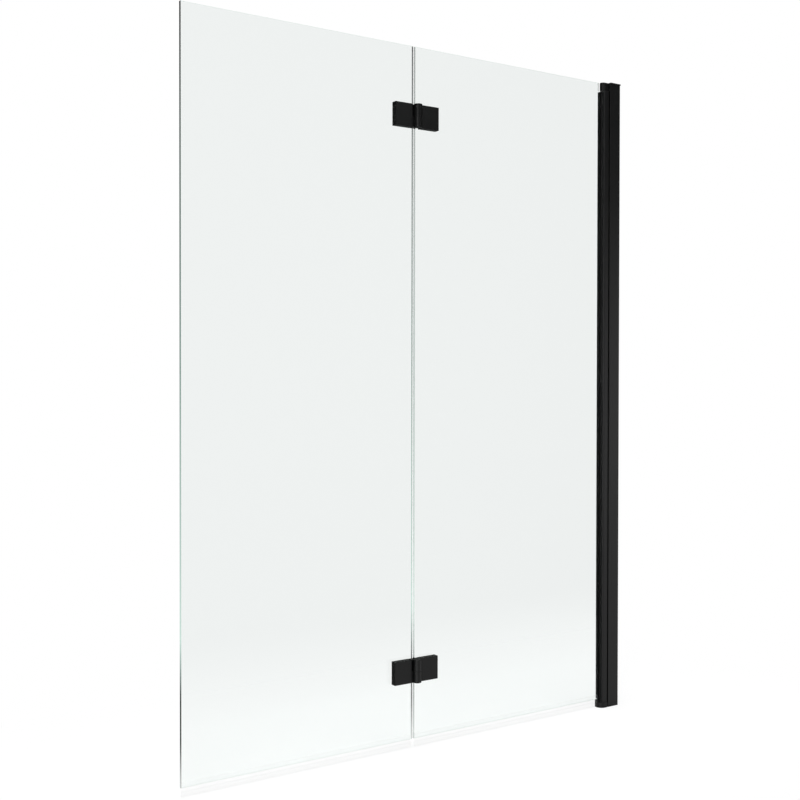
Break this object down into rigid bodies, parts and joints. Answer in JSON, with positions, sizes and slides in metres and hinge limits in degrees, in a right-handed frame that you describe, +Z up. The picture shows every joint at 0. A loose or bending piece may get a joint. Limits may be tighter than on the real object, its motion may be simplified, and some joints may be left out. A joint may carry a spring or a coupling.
{
  "type": "bath screen",
  "caption": "Frameless folding bath screen: clear glass leaves on matt black hinges, swinging on a full-height black wall pivot profile, with clear sealing strips.",
  "frame": {"origin": "on the wall face of the wall profile, at bath rim level, in the glass's middle plane", "axes": "+X into the wall, -Y to the front where the hinge barrels stand, +Z up"},
  "size_m": [1.05, 0.042, 1.4],
  "materials": {
    "black_powder_coat": "matt black powder coat on extruded aluminium",
    "black_zinc": "matt black coat on die-cast zinc",
    "black_steel": "blackened steel screws",
    "stainless_steel": "plain stainless steel",
    "clear_glass": "clear toughened glass with ground edges",
    "clear_vinyl": "clear flexible vinyl extrusion",
    "black_plastic": "moulded black nylon",
    "natural_nylon": "natural nylon",
    "black_rubber": "black elastomer"
  },
  "bodies": {
    "wall_frame": {"wall_profile": "black_powder_coat", "wall_profile_cap": "black_plastic", "adjusting_profile": "black_powder_coat", "adjusting_screws": "stainless_steel", "screw_covers": "black_plastic", "top_pivot_bracket": "black_zinc", "bottom_pivot_bracket": "black_zinc", "top_pivot_pin": "stainless_steel", "bottom_pivot_pin": "stainless_steel", "thrust_washer": "natural_nylon", "bracket_screws": "stainless_steel"},
    "inner_leaf": {"pivot_profile": "black_powder_coat", "top_pivot_plug": "black_plastic", "bottom_pivot_plug": "black_plastic", "front_glazing_gasket": "black_rubber", "back_glazing_gasket": "black_rubber", "inner_glass": "clear_glass", "inner_bottom_seal": "clear_vinyl", "upper_inner_hinge_plate": "black_zinc", "upper_inner_clamp_plate": "black_zinc", "upper_inner_front_pad": "black_rubber", "upper_inner_back_pad": "black_rubber", "upper_inner_clamp_screws": "black_steel", "upper_inner_glass_sleeves": "natural_nylon", "upper_hinge_pin": "stainless_steel", "lower_inner_hinge_plate": "black_zinc", "lower_inner_clamp_plate": "black_zinc", "lower_inner_front_pad": "black_rubber", "lower_inner_back_pad": "black_rubber", "lower_inner_clamp_screws": "black_steel", "lower_inner_glass_sleeves": "natural_nylon", "lower_hinge_pin": "stainless_steel"},
    "outer_leaf": {"outer_glass": "clear_glass", "outer_bottom_seal": "clear_vinyl", "bottom_centre_seal": "clear_vinyl", "middle_centre_seal": "clear_vinyl", "top_centre_seal": "clear_vinyl", "upper_outer_hinge_plate": "black_zinc", "upper_outer_clamp_plate": "black_zinc", "upper_outer_front_pad": "black_rubber", "upper_outer_back_pad": "black_rubber", "upper_outer_clamp_screws": "black_steel", "upper_outer_glass_sleeves": "natural_nylon", "upper_hinge_bush": "natural_nylon", "upper_hinge_end_cap": "black_plastic", "lower_outer_hinge_plate": "black_zinc", "lower_outer_clamp_plate": "black_zinc", "lower_outer_front_pad": "black_rubber", "lower_outer_back_pad": "black_rubber", "lower_outer_clamp_screws": "black_steel", "lower_outer_glass_sleeves": "natural_nylon", "lower_hinge_bush": "natural_nylon", "lower_hinge_end_cap": "black_plastic"}
  },
  "joints": [
    {"name": "wall_pivot", "type": "hinge", "parent": "wall_frame", "child": "inner_leaf", "pos_m": [-0.04, 0, 0], "axis": [0, 0, 1], "range_deg": [-90, 90]},
    {"name": "leaf_fold", "type": "hinge", "parent": "inner_leaf", "child": "outer_leaf", "pos_m": [-0.5555, -0.017, 0], "axis": [0, 0, 1], "range_deg": [0, 180]}
  ]
}
